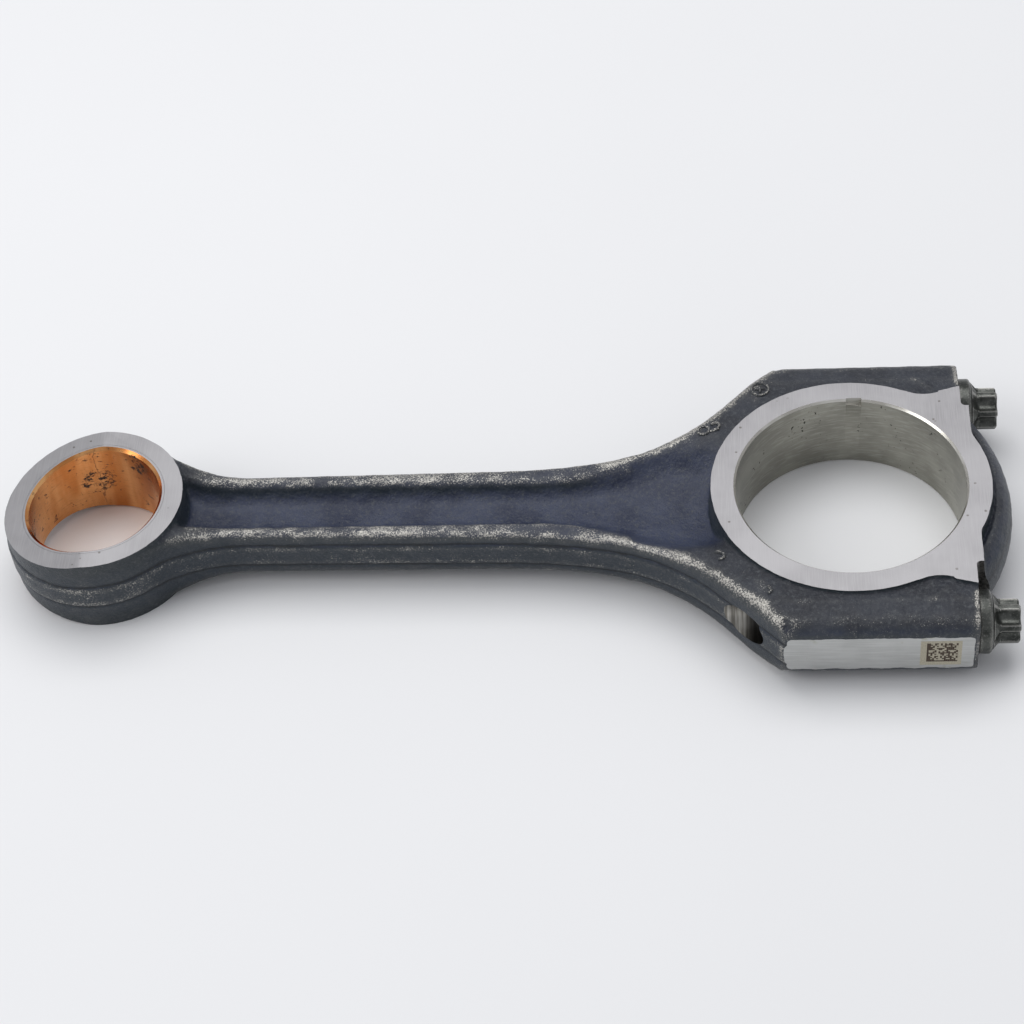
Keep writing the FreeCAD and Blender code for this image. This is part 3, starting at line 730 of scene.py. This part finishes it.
def bush_bronze():
    """Polished bronze lining with soft colour bands, smeared oil and a seam."""
    material, tree, shader = new_material("bush_bronze")
    bands = noise(tree, 6.0, position(tree, (1.0, 1.0, 0.25)), detail=3.0)
    colour = mix(tree, band(tree, bands, 0.3, 0.7), (0.58, 0.225, 0.066), (0.92, 0.50, 0.21))
    drag = noise(tree, 0.35, position(tree, (0.12, 0.12, 1.0)), detail=3.0)
    dull = calc(tree, "MULTIPLY", band(tree, drag, 0.5, 0.8), 0.4)
    colour = mix(tree, dull, colour, (0.34, 0.15, 0.065))
    oil = calc(tree, "MAXIMUM", oil_smears(tree), calc(tree, "MULTIPLY", bush_seam(tree), 0.6))
    colour = mix(tree, oil, colour, (0.018, 0.012, 0.008))
    link(tree, colour, shader.inputs["Base Color"])
    link(tree, blend_values(tree, oil, 1.0, 0.2), shader.inputs["Metallic"])
    link(tree, blend_values(tree, oil, 0.2, 0.42), shader.inputs["Roughness"])
    link(tree, bump(tree, drag, 0.01, 0.5), shader.inputs["Normal"])
    return material


def bolt_phosphate():
    """Grey-green phosphate on the bolts, rubbed at the corners."""
    material, tree, shader = new_material("bolt_phosphate")
    cloud = noise(tree, 3.0, detail=5.0)
    grain = noise(tree, 0.35, detail=4.0)
    colour = mix(tree, band(tree, cloud, 0.35, 0.65), (0.036, 0.039, 0.035), (0.090, 0.094, 0.086))
    pale = calc(tree, "MULTIPLY", band(tree, grain, 0.5, 0.75), 0.5)
    colour = mix(tree, pale, colour, (0.20, 0.20, 0.19))
    edge = node(tree, "ShaderNodeNewGeometry").outputs["Pointiness"]
    rubbed = band(tree, calc(tree, "ADD", edge, calc(tree, "MULTIPLY", grain, 0.05)), 0.535, 0.585)
    colour = mix(tree, calc(tree, "MULTIPLY", rubbed, 0.5), colour, (0.50, 0.49, 0.46))
    link(tree, colour, shader.inputs["Base Color"])
    shader.inputs["Metallic"].default_value = 0.7
    link(tree, blend_values(tree, cloud, 0.24, 0.44), shader.inputs["Roughness"])
    link(tree, bump(tree, grain, 0.03, 0.5), shader.inputs["Normal"])
    return material


def laser_mark(name, dark, light):
    """Metal that a laser has marked, mottled between two colours."""
    material, tree, shader = new_material(name)
    grain = noise(tree, 0.3, detail=3.0)
    colour = mix(tree, band(tree, grain, 0.35, 0.65), dark, light)
    link(tree, colour, shader.inputs["Base Color"])
    link(tree, blend_values(tree, grain, 0.5, 0.7), shader.inputs["Roughness"])
    return material


def studio_floor():
    material, tree, shader = new_material("studio_floor")
    cloud = noise(tree, 160.0, detail=2.0)
    colour = mix(tree, cloud, (0.765, 0.765, 0.77), (0.80, 0.80, 0.805))
    link(tree, colour, shader.inputs["Base Color"])
    shader.inputs["Roughness"].default_value = 0.6
    shader.inputs["Specular IOR Level"].default_value = 0.3
    return material


# ---------------------------------------------------------------- forged pieces

def side_plane_cutters():
    """What machining takes off the two flat sides and the tapered small end."""
    far_x = EYE_X - 30.0
    drop = 30.0 * EYE_TAPER
    cutters = []
    for up in (1.0, -1.0):
        outline = [
            (far_x, (FACE_Z - drop) * up),
            (EYE_X, FACE_Z * up),
            (60.0, FACE_Z * up),
            (60.0, (FACE_Z + 8.0) * up),
            (far_x, (FACE_Z + 8.0) * up),
        ]
        cutters.append(prism("side_cut", outline, -60.0, 60.0, axis="y"))
    for cutter in cutters:
        paint(cutter, MILLED)
    return cutters


def pad_cutters():
    cutters = []
    for side in (1.0, -1.0):
        low, high = sorted((PAD_Y * side, (PAD_Y + 10.0) * side))
        cutters.append(block("pad_cut", (-30.0, low, -20.0), (60.0, high, 20.0)))
        paint(cutters[-1], GROUND)
    return cutters


def bore_cutter():
    """Big-end bore with its chamfers."""
    chamfer = 0.45
    wall = lathe("bore_cut", [
        (-20.0, 0.0), (-20.0, BORE_RADIUS), (20.0, BORE_RADIUS), (20.0, 0.0),
    ], (0.0, 0.0, 0.0), segments=360)
    paint(wall, BORED)
    rims = []
    for up in (1.0, -1.0):
        rim = lathe("rim_cut", [
            ((FACE_Z - chamfer - 1.0) * up, 0.0),
            ((FACE_Z - chamfer - 1.0) * up, BORE_RADIUS - 1.0),
            ((FACE_Z + 2.0) * up, BORE_RADIUS + chamfer + 2.0),
            ((FACE_Z + 2.0) * up, 0.0),
        ], (0.0, 0.0, 0.0), segments=360)
        paint(rim, BRIGHT)
        rims.append(rim)
    return [wall] + rims


def bolt_hole_cutters(radius, low_x, high_x):
    cutters = []
    for side in (1.0, -1.0):
        hole = lathe("hole_cut", [
            (low_x, 0.0), (low_x, radius), (high_x, radius), (high_x, 0.0),
        ], (0.0, BOLT_Y * side, 0.0), axis="x", segments=96)
        paint(hole, DRILLED)
        cutters.append(hole)
    return cutters


def make_rod():
    rod = forging_object("rod_forging", -192.0, 3.0, ROD_STEP_X)
    paint(rod, SCALE)
    eye = lathe("eye_cut", [
        (-20.0, 0.0), (-20.0, BUSH_RADIUS), (20.0, BUSH_RADIUS), (20.0, 0.0),
    ], (EYE_X, 0.0, 0.0), segments=256)
    paint(eye, BRIGHT)
    split = block("split_cut", (0.0, -50.0, -20.0), (20.0, 50.0, 20.0))
    paint(split, CRACKED)
    cutters = side_plane_cutters() + pad_cutters() + bore_cutter() + [eye, split]
    cutters += bolt_hole_cutters(4.05, -19.0, 5.0)
    cutters += bolt_hole_cutters(4.2, -60.0, -17.0)
    cut(rod, cutters)
    smooth_between_edges(rod)
    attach(rod, "rod")
    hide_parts("rod_body")
    return rod


def seat_cutters():
    """Bolt seats milled straight across the cap, with a small corner radius."""
    corner = 1.0
    cutters = []
    for side in (1.0, -1.0):
        outline = [(SEAT_X, 50.0)]
        for i in range(9):
            angle = math.pi + math.radians(90.0) * i / 8
            outline.append((
                SEAT_X + corner + corner * math.cos(angle),
                SEAT_WALL_Y + corner + corner * math.sin(angle),
            ))
        outline += [(60.0, SEAT_WALL_Y), (60.0, 50.0)]
        outline = [(x, y * side) for x, y in outline]
        cutters.append(prism("seat_cut", outline, -20.0, 20.0))
        paint(cutters[-1], SEAT)
    return cutters


def make_cap():
    cap = forging_object("cap_forging", -3.0, 38.0, GRID_STEP)
    paint(cap, SCALE)
    split = block("split_cut", (-20.0, -50.0, -20.0), (0.0, 50.0, 20.0))
    paint(split, CRACKED)
    tang = prism("tang_cut", [(24.0, 6.4), (25.75, 10.1), (25.75, 14.0), (24.0, 14.0)], -1.0, 3.4, axis="x")
    paint(tang, BRIGHT)
    cutters = side_plane_cutters() + pad_cutters() + bore_cutter() + seat_cutters() + [split, tang]
    cutters += bolt_hole_cutters(4.07, -5.0, 60.0)
    cut(cap, cutters)
    smooth_between_edges(cap)
    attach(cap, "cap")
    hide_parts("big_end_cap")


# ---------------------------------------------------------------- marks

def arc_path(x, y, radius, start, end, steps=24):
    angles = [math.radians(start + (end - start) * i / steps) for i in range(steps + 1)]
    return [(x + radius * math.cos(a), y + radius * math.sin(a)) for a in angles]


def raised_mark(name, rod, paths, width=0.8, lift=0.42):
    """Raised strokes that lie on the upper surface of the forging."""
    points, faces = [], []
    for path in paths:
        start = len(points)
        for i, (x, y) in enumerate(path):
            before, after = path[max(i - 1, 0)], path[min(i + 1, len(path) - 1)]
            run = Vector((after[0] - before[0], after[1] - before[1])).normalized()
            for across, height in ((-1.0, -0.4), (-0.5, lift), (0.5, lift), (1.0, -0.4)):
                px = x - run.y * across * width / 2
                py = y + run.x * across * width / 2
                hit = rod.ray_cast(Vector((px, py, 30.0)) * MM, Vector((0.0, 0.0, -1.0)))
                points.append((px, py, hit[1].z / MM + height))
        for i in range(len(path) - 1):
            for k in range(4):
                m = (k + 1) % 4
                a, b = start + 4 * i, start + 4 * (i + 1)
                faces.append([a + k, a + m, b + m, b + k])
        last = start + 4 * (len(path) - 1)
        faces.append([start, start + 1, start + 2, start + 3])
        faces.append([last, last + 1, last + 2, last + 3])
    mark = mesh_object(name, points, faces)
    face_outwards(mark)
    paint(mark, SCALE)
    mark.data.shade_smooth()
    # The raised strokes get strong wear flecks and painted sheen.
    wear_and_sheen = mark.data.attributes.new("wear_and_sheen", "FLOAT", "POINT")
    wear_and_sheen.data.foreach_set("value", [0.72] * len(points))
    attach(mark, "rod")


def make_forging_marks(rod):
    ring = arc_path(-19.1, 29.9, 1.9, 0, 360, 36)
    raised_mark("mark_ring", rod, [
        ring, [(-20.2, 29.9), (-19.1, 29.9), (-18.0, 29.9)], [(-19.1, 28.8), (-19.1, 29.9), (-19.1, 31.0)],
    ], width=0.75)
    raised_mark("mark_arcs", rod, [
        arc_path(-31.9, 18.9, 1.25, 0, 360, 28),
        arc_path(-29.3, 19.9, 0.95, 150, -60, 14) + [(-30.3, 18.4), (-28.4, 18.9)],
    ], width=0.85)
    raised_mark("mark_hook", rod, [
        [(-29.6, -17.3), (-28.6, -17.1)] + arc_path(-28.5, -18.4, 0.9, 90, -110, 12),
    ], width=0.85)
    raised_mark("mark_bar", rod, [
        [(-18.5, -28.0), (-17.7, -29.0), (-18.4, -30.0)],
    ], width=0.85)


def make_laser_code():
    """Laser-marked patch with a generic pattern of square cells on the front pad."""
    patch = block("code_patch", (13.0, -PAD_Y - 0.02, -4.0), (21.6, -PAD_Y + 0.1, 3.9))
    paint(patch, LASER_GROUND)
    columns, rows = 16, 16
    left, bottom, width, height = 14.3, -2.9, 6.5, 6.1
    points, faces = [], []
    for i in range(columns):
        for j in range(rows):
            border = i == 0 or j == 0
            if not border and (i * i * 3 + j * j * 5 + i * j * 7 + i) % 11 > 5:
                continue
            x0, z0 = left + width * i / columns, bottom + height * j / rows
            x1, z1 = x0 + width / columns * 0.97, z0 + height / rows * 0.97
            y = -PAD_Y - 0.035
            start = len(points)
            points += [(x0, y, z0), (x1, y, z0), (x1, y, z1), (x0, y, z1)]
            points += [(px, -PAD_Y + 0.05, pz) for px, _, pz in points[start:start + 4]]
            faces.append([start + n for n in (0, 1, 2, 3)])
            faces.append([start + n for n in (7, 6, 5, 4)])
            for n in range(4):
                m = (n + 1) % 4
                faces.append([start + m, start + n, start + 4 + n, start + 4 + m])
    cells = mesh_object("code_cells", points, faces)
    face_outwards(cells)
    paint(cells, LASER_CELL)
    for piece in (patch, cells):
        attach(piece, "cap")


# ---------------------------------------------------------------- bush and bolts

def bush_face(x):
    """Height of the side face at a given distance along the rod."""
    return FACE_Z - EYE_TAPER * max(EYE_X - x, 0.0)


def make_bush():
    segments = 256
    chamfer = 0.7
    points, faces = [], []
    for i in range(segments):
        angle = 2.0 * math.pi * i / segments
        for radius, lower in (
            (PIN_RADIUS, chamfer),
            (PIN_RADIUS + chamfer, 0.0),
            (BUSH_RADIUS - 0.06, 0.0),
        ):
            x = EYE_X + radius * math.cos(angle)
            top = bush_face(x) - lower
            points.append((x, radius * math.sin(angle), top))
        for radius, lower in (
            (BUSH_RADIUS - 0.06, 0.0),
            (PIN_RADIUS + chamfer, 0.0),
            (PIN_RADIUS, chamfer),
        ):
            x = EYE_X + radius * math.cos(angle)
            points.append((x, radius * math.sin(angle), -bush_face(x) + lower))
    for i in range(segments):
        j = (i + 1) % segments
        for k in range(6):
            m = (k + 1) % 6
            faces.append([6 * i + k, 6 * i + m, 6 * j + m, 6 * j + k])
    bush = mesh_object("bush", points, faces)
    face_outwards(bush)
    paint(bush, BRONZE, MILLED)
    for number, face in enumerate(bush.data.polygons):
        face.material_index = 1 if number % 6 in (1, 2, 3) else 0
    smooth_between_edges(bush)
    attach(bush, "rod")
    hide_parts("small_end_bush")


def head_radius(x, angle):
    """Radius of the six-lobe head; the scallops run out towards the flange."""
    outer = max(4.71, 6.0 - 1.1 * (x - 28.5))
    cutter_radius = 1.75
    cutter_centre = 4.98 + 2.6 * max(0.0, (30.4 - x) / 1.9) ** 2
    turn = (angle + math.pi / 6) % (math.pi / 3) - math.pi / 6
    inside = cutter_radius ** 2 - (cutter_centre * math.sin(turn)) ** 2
    if inside <= 0.0:
        return outer
    scallop = cutter_centre * math.cos(turn) - math.sqrt(inside)
    return min(outer, scallop)


def shank_radius(x, angle):
    """Radius of the bolt below its flange, with an M8 x 1 thread at the tip."""
    if x > 21.0:
        return 4.0
    if x > 3.0:
        rise = smooth_step(19.5, 21.0, np.float64(x)) + smooth_step(4.5, 3.0, np.float64(x))
        return 3.5 + 0.5 * float(rise)
    phase = (x - angle / (2.0 * math.pi)) % 1.0
    depth = 0.61 * min(1.0, 2.2 * abs(phase - 0.5) / 1.0)
    run_in = min(1.0, max(0.0, (x - BOLT_TIP_X) / 0.9))
    return (3.3 + 0.7 * run_in) - depth * run_in


def bolt_radius(x, angle):
    if x < SEAT_X:
        return shank_radius(x, angle)
    if x <= 27.7:
        return 6.85 - 0.35 * max(0.0, (25.7 - x) / 0.4) ** 2
    if x <= 28.5:
        return 6.85 - 1.1 * ((x - 27.7) / 0.8) ** 2
    edge = 0.5 * max(0.0, (x - BOLT_END_X + 0.5) / 0.5) ** 2
    return head_radius(x, angle) - edge


def bolt_stations():
    """Places along the bolt where its section is worked out, close together on the thread."""
    stations = list(np.arange(BOLT_TIP_X, 3.2, 0.1))
    stations += list(np.arange(3.4, SEAT_X - 0.01, 0.4)) + [SEAT_X - 0.002]
    stations += [SEAT_X, 25.4, 25.5, 25.7, 26.4, 27.1, 27.7, 27.9, 28.1, 28.3, 28.499]
    stations += list(np.arange(28.501, 31.4, 0.12)) + list(np.arange(31.5, BOLT_END_X - 0.5, 0.5))
    stations += list(np.linspace(BOLT_END_X - 0.5, BOLT_END_X, 6))
    return stations


def make_bolt(name, side, body, node_name):
    """One cap bolt with a shallow dish in the end of its head."""
    segments = 144
    stations = bolt_stations()
    points = [(stations[0], 0.0, 0.0)]
    for x in stations:
        for i in range(segments):
            angle = 2.0 * math.pi * i / segments
            radius = bolt_radius(float(x), angle)
            points.append((x, radius * math.cos(angle), radius * math.sin(angle)))
    dish = 0.35
    for i in range(segments):
        angle = 2.0 * math.pi * i / segments
        points.append((BOLT_END_X - dish, 2.0 * math.cos(angle), 2.0 * math.sin(angle)))
    points.append((BOLT_END_X - dish, 0.0, 0.0))
    rings = len(stations) + 1
    faces = []
    for i in range(segments):
        j = (i + 1) % segments
        faces.append([0, 1 + i, 1 + j])
        for k in range(rings - 1):
            a, b = 1 + k * segments, 1 + (k + 1) * segments
            faces.append([a + i, a + j, b + j, b + i])
        last = 1 + (rings - 1) * segments
        faces.append([last + i, last + j, len(points) - 1])
    points = [(x, y + BOLT_Y * side, z) for x, y, z in points]
    bolt = mesh_object(name, points, faces)
    face_outwards(bolt)
    paint(bolt, PHOSPHATE)
    smooth_between_edges(bolt, 40.0)
    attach(bolt, body)
    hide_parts(node_name)


# ---------------------------------------------------------------- stage

def make_floor():
    floor = mesh_object("studio_floor", [
        (-4000.0, -4000.0, -FACE_Z), (4000.0, -4000.0, -FACE_Z),
        (4000.0, 4000.0, -FACE_Z), (-4000.0, 4000.0, -FACE_Z),
    ], [[0, 1, 2, 3]])
    paint(floor, studio_floor())


def area_light(name, place, target, size, power, colour=(1.0, 1.0, 1.0)):
    lamp = bpy.data.lights.new(name, "AREA")
    lamp.shape = "RECTANGLE"
    lamp.size, lamp.size_y = size
    lamp.energy = power
    lamp.color = colour
    made = bpy.data.objects.new(name, lamp)
    made.location = place
    made.rotation_euler = (Vector(target) - Vector(place)).to_track_quat("-Z", "Y").to_euler()
    bpy.context.scene.collection.objects.link(made)


def make_lights():
    world = bpy.data.worlds.new("studio")
    world.use_nodes = True
    world.node_tree.nodes["Background"].inputs["Color"].default_value = (0.93, 0.95, 1.0, 1.0)
    world.node_tree.nodes["Background"].inputs["Strength"].default_value = 0.52
    bpy.context.scene.world = world
    bpy.context.scene.view_settings.view_transform = "Standard"
    middle = (-0.07, 0.0, 0.0)
    area_light("overhead_softbox", (-0.12, 0.4, 1.05), middle, (1.1, 0.8), 7.2)
    area_light("left_softbox", (-0.9, -0.2, 0.7), middle, (0.6, 0.6), 3.4)


def make_camera():
    """Camera in front of the rod, looking down on it at 48 degrees."""
    azimuth, elevation, roll = -0.1335, 0.8417, -0.1187
    forward = Vector((
        math.sin(azimuth) * math.cos(elevation),
        math.cos(azimuth) * math.cos(elevation),
        -math.sin(elevation),
    ))
    level = Vector((math.cos(azimuth), -math.sin(azimuth), 0.0))
    above = level.cross(forward)
    right = level * math.cos(roll) + above * math.sin(roll)
    up = above * math.cos(roll) - level * math.sin(roll)
    turn = Matrix((right, up, -forward)).transposed().to_4x4()
    data = bpy.data.cameras.new("camera")
    data.sensor_width = 36.0
    data.lens = 89.80
    data.clip_start = 0.01
    data.clip_end = 20.0
    camera = bpy.data.objects.new("camera", data)
    camera.matrix_world = Matrix.Translation(Vector((-24.22, -374.54, 425.69)) * MM) @ turn
    bpy.context.scene.collection.objects.link(camera)
    bpy.context.scene.camera = camera


SCALE = forged_scale()
MILLED = milled_face()
BORED = bored_wall()
BRIGHT = bright_cut()
DRILLED = drilled_hole()
LASER_GROUND = laser_mark("laser_ground", (0.36, 0.33, 0.25), (0.46, 0.42, 0.32))
LASER_CELL = laser_mark("laser_cell", (0.035, 0.022, 0.012), (0.07, 0.045, 0.025))
GROUND = ground_pad()
SEAT = seat_cut()
CRACKED = cracked_split()
BRONZE = bush_bronze()
PHOSPHATE = bolt_phosphate()

make_camera()
rod = make_rod()
make_cap()
make_forging_marks(rod)
make_laser_code()
make_bush()
make_bolt("bolt_front", -1.0, "bolt_front", "cap_bolt_front")
make_bolt("bolt_rear", 1.0, "bolt_rear", "cap_bolt_rear")
make_floor()
make_lights()
